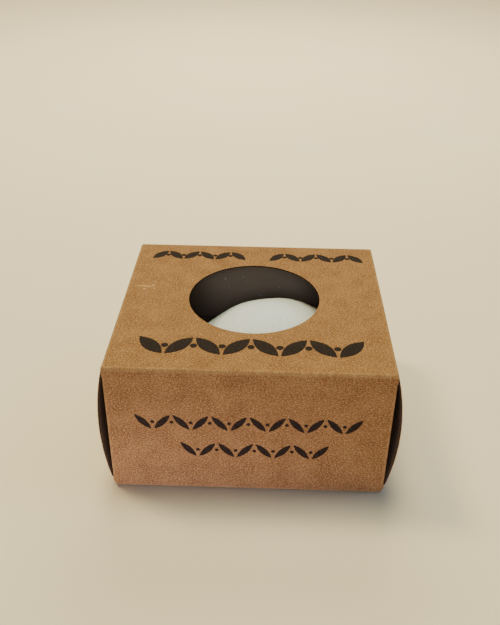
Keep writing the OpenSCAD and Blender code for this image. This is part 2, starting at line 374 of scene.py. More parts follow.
def kraft_liner_machine_glazed(board, rows, scuffs):
    """Unbleached kraft liner, pressed smooth on one side: brown, cloudy, with short pale and dark fibres.

    Its face is matt with a faint glaze, and it rubs pale in scuffs and along the creases and cut edges,
    where the pale band is partly a painted highlight. The printed rows are thin offset ink, as matt as the
    paper, whose edges creep a little along the fibres. The fibres are about 1 mm by 0.03 mm, too fine to
    show here, so they are drawn about ten times as wide.
    """
    material, tree = new_material("kraft_liner_machine_glazed", 0.78, 1.48, gloss=0.12)
    blank = add_node(tree, "Attribute", {}, "Vector", attribute_name="blank")
    wear = add_node(tree, "Attribute", {}, "Fac", attribute_name="wear")
    pulp = add_node(tree, "TexNoise", {"Vector": blank, "Scale": 1 / (6.5 * MM), "Detail": 3.0})
    cloud = add_node(tree, "MapRange", {"Value": pulp, "From Min": 0.15, "From Max": 0.85})
    grain = add_node(tree, "TexNoise", {"Vector": blank, "Scale": 1 / (0.37 * MM), "Detail": 2.0})
    speckle = add_node(tree, "MapRange", {"Value": grain, "From Min": 0.42, "From Max": 0.6})
    pale = fibres(tree, blank, 0.5 * MM, 0.3 * MM, 0.53, 0.64)
    deep = fibres(tree, blank, 1.3 * MM, 0.26 * MM, 0.66, 0.76)

    uneven = add_node(tree, "TexNoise", {"Vector": blank, "Scale": 1 / (1.7 * MM)})
    # The pale band by the creases and cut edges: partly wear, partly a painted highlight
    rub_and_highlight = worked_out(tree, {"wear": wear, "uneven": uneven, "grain": grain}, [
        ("broken", "ADD", "uneven", 0.2),
        ("worn_and_highlit", "MULTIPLY", "wear", "broken"),
        ("proud", "SUBTRACT", "grain", 0.5),
        ("catches", "MULTIPLY", "proud", 1.6),
        ("rub_and_highlight", "ADD", "worn_and_highlit", "catches"),
    ])
    rubbed_and_highlit = add_node(tree, "MapRange", {"Value": rub_and_highlight, "From Min": 0.5, "From Max": 1.0})

    spread = add_node(tree, "TexNoise", {"Vector": blank, "Scale": 1 / (0.4 * MM)}, "Color")
    creep = {0: spread, 1: (0.14 * MM, 0.14 * MM, 0), 2: blank}
    crept = add_node(tree, "VectorMath", creep, operation="MULTIPLY_ADD")
    across = add_node(tree, "SeparateXYZ", {0: crept}, X)
    along = across.node.outputs[Y]
    scuff = scuffed(tree, across, along, scuffs)
    scratched = add_node(tree, "MapRange", {"Value": scuff, "From Max": 0.4})
    print_here = 0.0
    for row in rows:
        leaves = leaf_row(tree, across, along, row)
        print_here = add_node(tree, "Math", {0: print_here, 1: leaves}, operation="MAXIMUM")
    ink = worked_out(tree, {"print": print_here, "pale": pale}, [
        ("breaks", "MULTIPLY", "pale", 0.07),
        ("cover", "SUBTRACT", 0.985, "breaks"),
        ("ink", "MULTIPLY", "print", "cover"),
    ])
    relief = worked_out(tree, {"pale": pale, "grain": grain}, [
        ("strands", "MULTIPLY", "pale", 0.5),
        ("relief", "ADD", "strands", "grain"),
    ])
    layers = [
        (cloud, 1, board.light), (speckle, 0.7, board.shive), (pale, 0.66, board.fleck),
        (deep, 0.6, board.shive), (rubbed_and_highlit, 0.7, board.worn_and_highlit), (scratched, 0.95, board.worn_and_highlit),
        (ink, 1, board.ink),
    ]
    dress(tree, board.dark, layers, (relief, 0.35, 0.05 * MM))
    return material


def black_liner_dyed(board):
    """The dyed black inner liner: near-black brown and matt, lifted toward a pale tan by painted light."""
    material, tree = new_material("black_liner_dyed", 0.62, 1.48, gloss=0.25)
    blank = add_node(tree, "Attribute", {}, "Vector", attribute_name="blank")
    # Painted light: the share that lifts the black inner face toward the pale tan
    painted_light_mask = add_node(tree, "Attribute", {}, "Fac", attribute_name="dust")
    cloud = add_node(tree, "TexNoise", {"Vector": blank, "Scale": 1 / (7 * MM), "Detail": 3.0})
    motes = fibres(tree, blank, 0.3 * MM, 0.3 * MM, 0.8, 0.86)
    grain = add_node(tree, "TexNoise", {"Vector": blank, "Scale": 1 / (0.5 * MM)})
    layers = [(cloud, 1, board.core), (painted_light_mask, 1, board.painted_lit_inside), (motes, 0.35, board.fleck)]
    dress(tree, board.inside, layers, (grain, 0.2, 0.04 * MM))
    return material


def board_core_cut(board):
    """The core of the board at a die-cut edge: dark pulp with torn fibres, rougher than either face."""
    material, tree = new_material("board_core_cut", 0.9, 1.48, gloss=0.1)
    blank = add_node(tree, "Attribute", {}, "Vector", attribute_name="blank")
    torn = fibres(tree, blank, 0.5 * MM, 0.3 * MM, 0.5, 0.75)
    dress(tree, board.core, [(torn, 0.25, board.shive)], (torn, 0.5, 0.05 * MM))
    return material


def konjac_foam_freeze_dried(sponge):
    """Freeze-dried konjac foam: off-white, dry and chalky, with fine pores whose shade is painted in a
    little darker.
    """
    material, tree = new_material("konjac_foam_freeze_dried", 0.85, 1.4, gloss=0.25)
    place = add_node(tree, "TexCoord", {}, "Object")
    spots = {"Vector": place, "Scale": 1 / (0.75 * MM), "Randomness": 1.0}
    from_pore = add_node(tree, "TexVoronoi", spots)
    sides = {"Value": from_pore, "From Min": 0.12, "From Max": 0.5, "To Min": 1, "To Max": 0}
    pores = add_node(tree, "MapRange", sides)
    cloud = add_node(tree, "TexNoise", {"Vector": place, "Scale": 1 / (6 * MM), "Detail": 3.0})
    # Painted shade: the fine pores darken toward the pore colour
    shaded = add_node(tree, "Math", {0: pores, 1: cloud}, operation="MULTIPLY")
    walls = add_node(tree, "Math", {0: 1, 1: pores}, operation="SUBTRACT")
    dress(tree, sponge.foam, [(shaded, 0.7, sponge.pore_shade_and_glue_tone)], (walls, 0.4, 0.1 * MM))
    return material


def white_glue_dried(sponge):
    """White glue, dried in the seam: a thin yellowish film with a soft gloss, uneven in thickness."""
    material, tree = new_material("white_glue_dried", 0.35, 1.47)
    place = add_node(tree, "TexCoord", {}, "Object")
    cloud = add_node(tree, "TexNoise", {"Vector": place, "Scale": 1 / (2 * MM)})
    dress(tree, sponge.glue, [(cloud, 1, sponge.pore_shade_and_glue_tone)], (cloud, 0.3, 0.05 * MM))
    return material


def studio_paper_calendered(stage):
    """Background paper, rolled smooth and dyed a pale cream: matt, and faintly cloudy like its pulp."""
    material, tree = new_material("studio_paper_calendered", 0.9, 1.4, gloss=0.15)
    place = add_node(tree, "TexCoord", {}, "Object")
    cloud = add_node(tree, "TexNoise", {"Vector": place, "Scale": 1 / (90 * MM)})
    dress(tree, stage.floor, [(cloud, 0.12, (1, 1, 1))])
    return material


# A round run tighter than this is a crease
CREASE_LIMIT = 2 * MM

# Distances along a sheet are rounded to this many decimals of a metre, and tests leave room for the last
# digits
DECIMALS = 7
LAST_DIGITS = 1e-9


class Route:
    """The outer face of a folded sheet, seen along its creases: flat and round runs that turn clockwise.

    A run is (length, radius), and radius 0 is flat. facing is the angle of the outward normal at the start.
    """

    def __init__(self, start, facing, runs):
        self.runs = []
        self.length = 0.0
        point = Vector(start)
        for length, radius in runs:
            self.runs.append((self.length, length, radius, point.copy(), facing))
            if radius:
                turned = facing - length / radius
                point += radius * Vector((math.cos(turned), math.sin(turned)))
                point -= radius * Vector((math.cos(facing), math.sin(facing)))
                facing = turned
            else:
                point += length * Vector((math.sin(facing), -math.cos(facing)))
            self.length += length

    def at(self, along):
        """Places and outward normals at the given distances."""
        along = np.clip(along, 0, self.length)
        places = np.empty((len(along), 2))
        normals = np.empty((len(along), 2))
        for begin, length, radius, point, facing in self.runs:
            here = (along >= begin - LAST_DIGITS) & (along <= begin + length + LAST_DIGITS)
            past = along[here] - begin
            angle = facing - (past / radius if radius else past * 0)
            normals[here] = np.stack([np.cos(angle), np.sin(angle)], 1)
            if radius:
                first = np.array([math.cos(facing), math.sin(facing)])
                places[here] = np.array(point) + radius * (normals[here] - first)
            else:
                ahead = np.array([math.sin(facing), -math.cos(facing)])
                places[here] = np.array(point) + past[:, None] * ahead
        return places, normals

    def folds(self):
        """Begin and end of each crease: the round runs that are tight."""
        return [(b, b + n) for b, n, radius, _, _ in self.runs if 0 < radius < CREASE_LIMIT]

    def from_fold(self, along):
        """Distance from the nearest crease, 0 inside one."""
        gaps = [np.maximum(np.maximum(begin - along, along - end), 0) for begin, end in self.folds()]
        return np.min(gaps, axis=0)

    def rows(self, cell, steps, margin):
        """Distances of the rows of points: even steps round a crease, and elsewhere cells between two
        narrow rows."""
        places = [0.0]
        for begin, length, radius, _, _ in self.runs:
            if 0 < radius < CREASE_LIMIT:
                places += [begin + length * i / steps for i in range(1, steps + 1)]
            elif length > 4 * margin:
                count = math.ceil((length - 2 * margin) / cell)
                places += [begin + margin + (length - 2 * margin) * i / count for i in range(count + 1)]
                places += [begin + length]
            elif length > 10 ** -DECIMALS:
                places += [begin + length]
        return merged(places)


def merged(*lists):
    """Distances from several lists in order, with those that fall together kept once."""
    return np.unique(np.round(np.concatenate(lists), DECIMALS))


def column_shares(half_width, cell, margin):
    """Places across a sheet as shares of its half width, with a narrow column at both sides."""
    edge = 1 - margin / half_width
    count = math.ceil(2 * half_width / cell)
    return np.concatenate([[-1], np.linspace(-edge, edge, count + 1), [1]])


def strip(rows, lows, highs, shares):
    """A flat sheet of quads: rows along it, and columns at the given shares between its two sides."""
    across = lows[:, None] + np.outer(highs - lows, (shares + 1) / 2)
    along = np.repeat(rows[:, None], len(shares), 1)
    points = np.stack([across.ravel(), along.ravel()], 1)
    n = len(shares)
    quads = [
        (j * n + i, j * n + i + 1, (j + 1) * n + i + 1, (j + 1) * n + i)
        for j in range(len(rows) - 1) for i in range(n - 1)
    ]
    return points, quads


def cut_round_hole(points, quads, columns, first_row, last_row, centre, radius, rings):
    """Takes the quads between two rows away, and fills round a hole with rings of quads there."""
    kept = [q for q in quads if q[0] // columns < first_row or q[0] // columns >= last_row]
    border = [first_row * columns + i for i in range(columns)]
    border += [j * columns + columns - 1 for j in range(first_row + 1, last_row + 1)]
    border += [last_row * columns + i for i in range(columns - 2, -1, -1)]
    border += [j * columns for j in range(last_row - 1, first_row, -1)]
    outline = points[border]
    toward = outline - centre
    circle = centre + radius * toward / np.linalg.norm(toward, axis=1)[:, None]
    inner = border
    for ring in range(1, rings + 1):
        share = (1 - math.cos(math.pi * ring / rings)) / 2
        start = len(points)
        points = np.concatenate([points, outline + (circle - outline) * share])
        outer, inner = inner, list(range(start, start + len(border)))
        kept += [
            (outer[k], outer[(k + 1) % len(border)], inner[(k + 1) % len(border)], inner[k])
            for k in range(len(border))
        ]
    used = np.unique(np.array(kept))
    place = np.zeros(len(points), int)
    place[used] = np.arange(len(used))
    return points[used], [tuple(place[list(q)]) for q in kept]


def border_edges(quads):
    """The edges that only one quad has, in that quad's direction."""
    edges = {(q[k], q[(k + 1) % 4]) for q in quads for k in range(4)}
    return sorted(e for e in edges if (e[1], e[0]) not in edges)


def smooth_step(value, low, high):
    """0 below low, 1 above high, and smooth between them."""
    share = np.clip((value - low) / (high - low), 0, 1)
    return share * share * (3 - 2 * share)


# Faces that meet at more than this make a sharp edge
SHARP_ANGLE = math.radians(35)


def add_mesh(name, points, faces, material_places, materials):
    """A mesh object, with its faces turned outward and its sharp edges marked."""
    corners = points[np.array([f[:3] for f in faces])]
    volume = (corners[:, 0] * np.cross(corners[:, 1], corners[:, 2])).sum()
    if volume < 0:
        faces = [f[::-1] for f in faces]
    mesh = bpy.data.meshes.new(name)
    mesh.from_pydata(points.tolist(), [], [list(map(int, f)) for f in faces])
    for material in materials:
        mesh.materials.append(material)
    mesh.polygons.foreach_set("material_index", material_places)
    mesh.shade_smooth()
    mesh.set_sharp_from_angle(angle=SHARP_ANGLE)
    thing = bpy.data.objects.new(name, mesh)
    bpy.context.scene.collection.objects.link(thing)
    return thing


def add_attribute(thing, name, kind, key, values):
    """A value at each vertex, which the materials read."""
    layer = thing.data.attributes.new(name, kind, "POINT")
    layer.data.foreach_set(key, np.asarray(values, np.float32).ravel())


# The board lies true up to the first distance from an edge or a crease, and dips in full past the second
TRUE_EDGE = 0.3 * MM
FULL_DIP = 9 * MM

# Which slice of the noise the board's dips follow, and how much of the pale band, partly wear and partly a
# painted highlight, a cut edge has at the core
DIP_SLICE = 3.7
CUT_WEAR_AND_HIGHLIGHT = 0.8

# The places of the board's materials on its mesh
KRAFT, BLACK, CORE = 0, 1, 2


def add_board(name, route, flat, quads, axes, blank_axes, still=0.0, dust=0.45):
    """A sheet of board on its route: outer face, inner face, and cut edges that show liner and core.

    axes are the directions in space of the route's two axes and of the sheet's width. blank_axes are the
    origin of the sheet on the flat blank, and the directions there of its length and its width. The board
    doesn't dip where along is under still. The last argument is the share of painted light that lifts the
    black inner face toward a pale tan.
    """
    board = bpy.context.scene.board
    across, along = flat[:, 0], flat[:, 1]
    places, normals = route.at(along)
    axes = np.array(axes, float)
    origin, lengthways, widthways = np.array(blank_axes, float)
    blank = origin + np.outer(along, lengthways) + np.outer(across, widthways)
    edges = border_edges(quads)
    rim = sorted({p for e in edges for p in e})
    middle = (across.max() + across.min()) / 2
    from_side = across.max() - middle - abs(across - middle)
    from_fold = route.from_fold(along)
    calm = smooth_step(np.minimum(from_side, from_fold), TRUE_EDGE, FULL_DIP)
    calm *= smooth_step(along, still, still + FULL_DIP)
    waves = np.array([noise.noise(Vector((*place, DIP_SLICE))) for place in blank / board.ripple_length])
    depth = board.ripple * calm * (0.5 + 0.5 * waves)
    outward = normals @ axes[:2]
    outer = places @ axes[:2] + np.outer(across, axes[2]) - depth[:, None] * outward
    liner = outer[rim] - board.liner * outward[rim]
    inner = outer - BOARD_T * outward
    count = len(outer)
    at_liner = {p: count + k for k, p in enumerate(rim)}
    below = count + len(rim)
    faces = list(quads)
    faces += [(at_liner[a], at_liner[b], b, a) for a, b in edges]
    faces += [(below + a, below + b, at_liner[b], at_liner[a]) for a, b in edges]
    faces += [(below + q[3], below + q[2], below + q[1], below + q[0]) for q in quads]
    which = [KRAFT] * (len(quads) + len(edges)) + [CORE] * len(edges) + [BLACK] * len(quads)
    points = np.concatenate([outer, liner, inner])
    thing = add_mesh(name, points, faces, which, board_materials())
    # Pale band by the creases and at the cut edges: partly wear, partly a painted highlight
    wear = 1 - smooth_step(from_fold, 0, board.wear)
    wear[rim] = 1.0
    all_blank = np.concatenate([blank, blank[rim], blank])
    add_attribute(thing, "blank", "FLOAT_VECTOR", "vector", np.pad(all_blank, ((0, 0), (0, 1))))
    all_wear = np.concatenate([wear, wear[rim] * CUT_WEAR_AND_HIGHLIGHT, np.zeros(count)])
    add_attribute(thing, "wear", "FLOAT", "value", all_wear)
    # The share of painted light on the inner face
    add_attribute(thing, "dust", "FLOAT", "value", np.full(len(points), dust))
    return thing


# Width of the narrow row of faces beside each edge and crease
MARGIN = 0.4 * MM

# The front's worn lower corners: how far from the corner the wear begins, how far in it goes as a share of
# that, how sharply it grows, and the rows of points on each side of it
WORN_CORNER = 2.0 * MM
WORN_DEPTH = 0.5
WORN_GROWTH = 1.5
WORN_ROWS = 4

# The wrap reaches its full width this far past the fold beside the glue flap
BASE_START = 0.8 * MM

# The wrap lies flat as far as this from the glue flap's free edge
GLUED_FLAT = 20 * MM

# Rings of faces round the window
WINDOW_RINGS = 22


def wrap_route():
    """The wrap from the glue flap's edge, under the base, up the front, over the top and down the back."""
    quarter = (FOLD_R * math.pi / 2, FOLD_R)
    return Route((GLUE_HIGH.y, GLUE_HIGH.z), 0.0, [
        (GLUE_HIGH.z - FOLD_R, 0), quarter,
        (GLUE_HIGH.y - FOLD_R + CARTON_D / 2 - FOLD_R, 0), quarter,
        (CARTON_H - 2 * FOLD_R, 0), quarter,
        (CARTON_D - 2 * FOLD_R, 0), quarter,
        (CARTON_H - FOLD_R, 0),
    ])


# The wrap's flat runs are the glue flap, the base, the front, the top and the back, with a fold between.
# A panel's foot is where it would meet the table if its lower fold were sharp.
WRAP = wrap_route()
FRONT_START, TOP_START, BACK_START = (WRAP.runs[k][0] for k in (4, 6, 8))
FRONT_FOOT = FRONT_START - FOLD_R
BACK_FOOT = BACK_START + CARTON_H - FOLD_R
TOP_LENGTH = CARTON_D - 2 * FOLD_R
TOP_MIDDLE = TOP_START + TOP_LENGTH / 2

# The printed rows of leaves: middle across, middle along the blank, half length, pitch, leaf length and
# width, dot radius
PRINTED_ROWS = [
    (-19 * MM, TOP_MIDDLE + 29 * MM, 15.9 * MM, 5.3 * MM, 7.3 * MM, 3.1 * MM, 0.75 * MM),
    (20.6 * MM, TOP_MIDDLE + 28.8 * MM, 15.9 * MM, 5.3 * MM, 7.3 * MM, 3.1 * MM, 0.75 * MM),
    (0.2 * MM, TOP_MIDDLE - 24.8 * MM, 32.4 * MM, 8.1 * MM, 11 * MM, 4.5 * MM, 1.05 * MM),
    (0, FRONT_START + 24.3 * MM, 32.4 * MM, 5.4 * MM, 7 * MM, 2 * MM, 0.55 * MM),
    (1.8 * MM, FRONT_START + 14.4 * MM, 21.6 * MM, 5.4 * MM, 7 * MM, 2 * MM, 0.55 * MM),
]

# The scratch and the specks on the left of the top: middle across, middle along the blank, and half of
# their length and width
SCUFFS = [
    (-34.7 * MM, TOP_MIDDLE + 7.5 * MM, 3.1 * MM, 0.38 * MM),
    (-34.5 * MM, TOP_MIDDLE + 5.7 * MM, 0.45 * MM, 0.6 * MM),
    (-31.9 * MM, TOP_MIDDLE + 8.3 * MM, 0.55 * MM, 0.55 * MM),
    (-31.4 * MM, TOP_MIDDLE + 6.4 * MM, 0.4 * MM, 0.45 * MM),
    (-31.7 * MM, TOP_MIDDLE + 10.7 * MM, 0.35 * MM, 0.45 * MM),
]


def board_materials():
    """The board's materials in the order of their places on its mesh. They are made once."""
    names = ("kraft_liner_machine_glazed", "black_liner_dyed", "board_core_cut")
    made = [bpy.data.materials.get(name) for name in names]
    if None in made:
        board = bpy.context.scene.board
        kraft = kraft_liner_machine_glazed(board, PRINTED_ROWS, SCUFFS)
        made = [kraft, black_liner_dyed(board), board_core_cut(board)]
    return made


def add_flap(node, route, rows, lows, highs, half_width, axes, blank_axes):
    """A flap's board, named for its node, which bends from start to end along its route."""
    shares = column_shares(half_width, bpy.context.scene.board.cell, MARGIN)
    points, quads = strip(rows, lows, highs, shares)
    flap = add_board(f"{node}_board", route, points, quads, axes, blank_axes)
    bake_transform(flap)
    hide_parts(node)


def rounded_in(rows, tip, corner):
    """How far a flap's sides draw in at each row, where its corners at the tip are quarter circles."""
    past = np.clip(corner - (tip - rows), 0, corner)
    return corner - np.sqrt(np.maximum(corner ** 2 - past ** 2, 0))


def corner_rows(tip, corner, step):
    """Rows for a rounded corner, at every so many degrees of its quarter circle."""
    return [tip - corner * (1 - math.cos(math.radians(turn))) for turn in range(step, 90, step)]


class MESH_OT_carton_wrap(bpy.types.Operator):
    """Make the four panels of the carton and its glue flap, as one folded sheet with the round window."""

    bl_idname = "mesh.carton_wrap"
    bl_label = "Carton Wrap"

    def execute(self, context):
        board = context.scene.board
        notches = {side: [(TOP_START, TOP_START + TOP_LENGTH)] for side in SIDES}
        for side in SIDES:
            low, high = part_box(f"{side}_front_dust_flap")
            notches[side].append((FRONT_FOOT + low.z, FRONT_FOOT + high.z))
            notches[side].append((BACK_FOOT - high.z, BACK_FOOT - low.z))
        ends = [end for side in SIDES for notch in notches[side][1:] for end in notch]
        corner = [FRONT_FOOT + WORN_CORNER * row / WORN_ROWS for row in range(-WORN_ROWS, WORN_ROWS + 1)]
        rows = merged(
            WRAP.rows(board.cell, board.fold_steps, MARGIN), [end - MARGIN / 2 for end in ends],
            [end + MARGIN / 2 for end in ends], corner, [GLUE_HIGH.z + BASE_START])
        widths = {}
        for side in SIDES:
            width = np.full(len(rows), CARTON_W / 2)
            for begin, end in notches[side]:
                ramp = smooth_step(rows, begin - MARGIN / 2, begin + MARGIN / 2)
                ramp *= 1 - smooth_step(rows, end - MARGIN / 2, end + MARGIN / 2)
                width -= (CARTON_W / 2 - HINGE_X) * ramp
            past = np.clip(1 - abs(rows - FRONT_START + FOLD_R / 2) / WORN_CORNER, 0, 1)
            width -= WORN_CORNER * WORN_DEPTH * past ** WORN_GROWTH
            past = np.clip(1 - abs(rows - BACK_START + FOLD_R * math.pi / 4) / FOLD_R, 0, 1)
            width -= (CARTON_W / 2 - HINGE_X) * smooth_step(past, 0, 1)
            on_flap = rows < GLUE_HIGH.z
            taper = GLUE_TIP_HALF + (GLUE_HIGH.x - GLUE_TIP_HALF) * rows / (GLUE_HIGH.z - FOLD_R)
            width[on_flap] = np.minimum(taper, GLUE_HIGH.x)[on_flap]
            widths[side] = width
        shares = column_shares(CARTON_W / 2, board.cell, MARGIN)
        points, quads = strip(rows, -widths["left"], widths["right"], shares)
        first = int(np.argmin(abs(rows - TOP_START - MARGIN)))
        last = int(np.argmin(abs(rows - TOP_START - TOP_LENGTH + MARGIN)))
        centre = np.array([WINDOW_CENTRE[0], TOP_MIDDLE + WINDOW_CENTRE[1]])
        points, quads = cut_round_hole(
            points, quads, len(shares), first, last, centre, WINDOW_R, WINDOW_RINGS)
        axes = [(0, 1, 0), (0, 0, 1), (1, 0, 0)]
        blank_axes = [(0, 0), (0, 1), (1, 0)]
        # The wrap's inner face takes the full share of painted light
        wrap = add_board("carton_wrap", WRAP, points, quads, axes, blank_axes, still=GLUED_FLAT, dust=1.0)
        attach(wrap, "carton")
        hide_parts("window_panel", "front_panel", "bottom_panel", "back_panel", "glue_flap")
        return {"FINISHED"}


def end_route(side):
    """The end of the carton: out of the top, round the closure's crease, down its bulge, round the tuck
    flap's crease and in along that flap.

    The bulge is an arc through the middles of the two creases, and each crease is a small arc that touches
    it. first and last are the angles where they touch.
    """
    radius = bpy.context.scene.board.crease_radius
    top = joint_place(f"{side}_closure_crease")
    foot = joint_place(f"{side}_tuck_crease")
    low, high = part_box(f"{side}_closure")
    bulge = max(high.x, -low.x) - abs(top.x) - BOARD_T / 2
    chord = top.z - foot.z
    arc_r = (chord * chord / 4 + bulge * bulge) / (2 * bulge)
    outer_r = arc_r + BOARD_T / 2
    middle = Vector((abs(top.x) + bulge - arc_r, (top.z + foot.z) / 2))
    low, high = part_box(f"{side}_tuck_flap")
    inner_x = min(abs(low.x), abs(high.x))
    reach = abs(foot.x) - inner_x
    rise = high.z - foot.z - BOARD_T / 2
    tuck_len = math.hypot(reach, rise)
    down = -math.pi / 2 - math.atan2(rise, reach)
    tuck_normal = Vector((math.cos(down), math.sin(down)))
    foot_middle = Vector((abs(foot.x), foot.z))
    inner_r = outer_r - radius
    first = math.pi / 2 - math.acos((CARTON_H - radius - middle.y) / inner_r)
    to_flap = foot_middle.dot(tuck_normal) + BOARD_T / 2 - radius - middle.dot(tuck_normal)
    last = down + math.acos(to_flap / inner_r)
    upper = middle + inner_r * Vector((math.cos(first), math.sin(first)))
    lower = middle + inner_r * Vector((math.cos(last), math.sin(last)))
    inward = Vector((math.sin(down), -math.cos(down)))
    flat = tuck_len - (lower - foot_middle).dot(inward)
    return Route((HINGE_X, CARTON_H), math.pi / 2, [
        (upper.x - HINGE_X, 0), (radius * (math.pi / 2 - first), radius),
        (outer_r * (first - last), outer_r), (radius * (last - down), radius),
        (flat, 0),
    ])


# A closure widens below its crease over the first length, and narrows to its tuck flap at a small shoulder
WIDENING = 4 * MM
SHOULDER = 0.35 * MM

# Radius of the corners at the free edges of the flaps
TUCK_CORNER = 6 * MM
DUST_CORNER = 2.5 * MM


class MESH_OT_end_closures(bpy.types.Operator):
    """Make the two end closures and their tuck flaps, each from its crease to its free edge."""

    bl_idname = "mesh.end_closures"
    bl_label = "End Closures and Tuck Flaps"

    def execute(self, context):
        board = context.scene.board
        for side, sign in SIDES.items():
            route = end_route(side)
            rows = route.rows(board.cell, board.fold_steps, MARGIN)
            split = route.runs[3][0] - MARGIN
            axes = [(sign, 0, 0), (0, 0, 1), (0, 1, 0)]
            blank_axes = [(sign * HINGE_X, TOP_MIDDLE), (sign, 0), (0, 1)]
            low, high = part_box(f"{side}_closure")
            full = (high.y - low.y) / 2
            narrow = CARTON_D / 2 - FOLD_R
            low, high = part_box(f"{side}_tuck_flap")
            tuck_half = (high.y - low.y) / 2
            bulge_start = route.runs[2][0]
            widths = narrow + (full - narrow) * smooth_step(rows, bulge_start, bulge_start + WIDENING)
            widths -= (full - tuck_half) * smooth_step(rows, split - 2 * SHOULDER, split - SHOULDER / 2)
            upper = rows <= split + MARGIN / 2
            add_flap(
                f"{side}_closure", route, rows[upper], -widths[upper], widths[upper], full,
                axes, blank_axes)
            tip_rows = corner_rows(route.length, TUCK_CORNER, step=8)
            tuck_rows = merged(rows[rows >= split - MARGIN / 2], tip_rows)
            drawn_in = rounded_in(tuck_rows, route.length, TUCK_CORNER)
            add_flap(
                f"{side}_tuck_flap", route, tuck_rows, drawn_in - tuck_half,
                tuck_half - drawn_in, full, axes, blank_axes)
        return {"FINISHED"}


class MESH_OT_dust_flaps(bpy.types.Operator):
    """Make the four dust flaps behind the closures, each from its upright crease to its free edge."""

    bl_idname = "mesh.dust_flaps"
    bl_label = "Dust Flaps"

    def execute(self, context):
        board = context.scene.board
        radius = board.crease_radius
        for side, sign in SIDES.items():
            for depth, toward in DEPTHS.items():
                node = f"{side}_{depth}_dust_flap"
                low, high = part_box(node)
                reach = CARTON_D / 2 - min(abs(low.y), abs(high.y))
                tip = end_points(node, Y, -toward)[:, Z]
                route = Route((HINGE_X, CARTON_D / 2), math.pi / 2, [
                    (CARTON_W / 2 - radius - HINGE_X, 0), (radius * math.pi / 2, radius),
                    (reach - radius, 0),
                ])
                tip_rows = corner_rows(route.length, DUST_CORNER, step=12)
                rows = merged(route.rows(board.cell, board.fold_steps, MARGIN), tip_rows)
                share = np.clip((rows - route.runs[1][0]) / reach, 0, 1)
                drawn_in = rounded_in(rows, route.length, DUST_CORNER)
                bottom = low.z + (tip.min() - low.z) * share + drawn_in
                top = high.z + (tip.max() - high.z) * share - drawn_in
                foot = FRONT_FOOT if toward < 0 else BACK_FOOT
                add_flap(
                    node, route, rows, bottom, top, (high.z - low.z) / 2,
                    axes=[(sign, 0, 0), (0, toward, 0), (0, 0, 1)],
                    blank_axes=[(sign * HINGE_X, foot), (sign, 0), (0, -toward)])
        return {"FINISHED"}


# The share of the ball's lower half that makes the rounded rim. The rest makes the flat underside.
RIM_SHARE = 0.22

# How far apart the sponge's broad dips lie, over what distance its pores keep one size, and the range of
# that size as a share of their spacing
SWELL_SPACING = 11 * MM
PORE_PATCH = 5 * MM
PORE_SMALL = 0.24
PORE_MORE = 0.22

# Soft dents of the sponge: middle, reach and depth
SPONGE_DENTS = [
    ((-14 * MM, 17.5 * MM, 27 * MM), 9 * MM, 1.15 * MM),
    ((1 * MM, 23 * MM, 30 * MM), 6 * MM, 0.4 * MM),
    ((20.5 * MM, 17 * MM, 31 * MM), 4 * MM, 0.3 * MM),
]


def sponge_surface(directions, sponge, base, crown):
    """Points of the half ball in the given directions: dome above, rounded rim and flat underside below."""
    radius = abs(end_points("sponge", Y, -1)[:, Y].min() - base.y)
    inset = sponge.rim_inset
    height = crown.z - base.z
    round_way = np.arctan2(directions[:, Y], directions[:, X])
    rise = np.arcsin(np.clip(directions[:, Z], -1, 1))
    up = np.clip(rise, 0, math.pi / 2)
    power = 2 / sponge.fullness
    dome_share = np.sin(up) ** power
    dome_r = radius * np.maximum(np.cos(up), 0) ** power
    dome_z = sponge.rim_height + (height - sponge.rim_height) * dome_share
    under = np.clip(-rise / (math.pi / 2), 0, 1)
    turn = np.clip(under / RIM_SHARE, 0, 1) * math.pi / 2
    rim_r = radius - inset * (1 - np.cos(turn))
    rim_z = sponge.rim_height * (1 - np.sin(turn))
    flat_share = np.clip((under - RIM_SHARE) / (1 - RIM_SHARE), 0, 1)
    rim_r = np.where(under > RIM_SHARE, (radius - inset) * (1 - flat_share), rim_r)
    out = np.where(rise >= 0, dome_r, rim_r)
    lean = np.where(rise >= 0, dome_share, 0)
    return np.stack([
        base.x + out * np.cos(round_way) + (crown.x - base.x) * lean,
        base.y + out * np.sin(round_way) + (crown.y - base.y) * lean,
        base.z + np.where(rise >= 0, dome_z, rim_z),
    ], 1)


class MESH_OT_konjac_sponge(bpy.types.Operator):
    """Make the sponge: a half ball with a flat underside, a soft uneven skin and open pores."""

    bl_idname = "mesh.konjac_sponge"
    bl_label = "Konjac Sponge"

    def execute(self, context):
        sponge = context.scene.sponge
        base = Vector(end_points("sponge", Z, -1).mean(0))
        crown = Vector(end_points("sponge", Z, 1).mean(0))
        bpy.ops.mesh.primitive_ico_sphere_add(subdivisions=sponge.detail, radius=1)
        body = context.object
        body.name = body.data.name = "konjac_sponge_foam"
        count = len(body.data.vertices)
        directions = np.empty(count * 3)
        body.data.vertices.foreach_get("co", directions)
        directions = directions.reshape(-1, 3)
        directions /= np.linalg.norm(directions, axis=1)[:, None]
        points = sponge_surface(directions, sponge, base, crown)
        inward = np.array([base.x, base.y, base.z + (crown.z - base.z) / 3]) - points
        inward /= np.linalg.norm(inward, axis=1)[:, None]
        depths = np.empty(count)
        for k, point in enumerate(map(Vector, points)):
            swell = 0.5 + 0.5 * noise.noise(point / SWELL_SPACING)
            near = noise.voronoi(point / sponge.pore)[0][0]
            size = PORE_SMALL + PORE_MORE * noise.cell(point / PORE_PATCH)
            pore = max(0.0, 1 - (near / size) ** 2)
            dent = sum(
                depth * math.exp(-((point - Vector(middle)).length / reach) ** 2)
                for middle, reach, depth in SPONGE_DENTS)
            depths[k] = sponge.swell * swell + sponge.pore_depth * pore + dent
        points += inward * depths[:, None]
        points[:, Z] = np.maximum(points[:, Z], base.z)
        body.data.vertices.foreach_set("co", points.ravel())
        body.data.update()
        body.data.shade_smooth()
        body.data.materials.append(konjac_foam_freeze_dried(sponge))
        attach(body, "sponge")
        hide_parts("sponge")
        return {"FINISHED"}


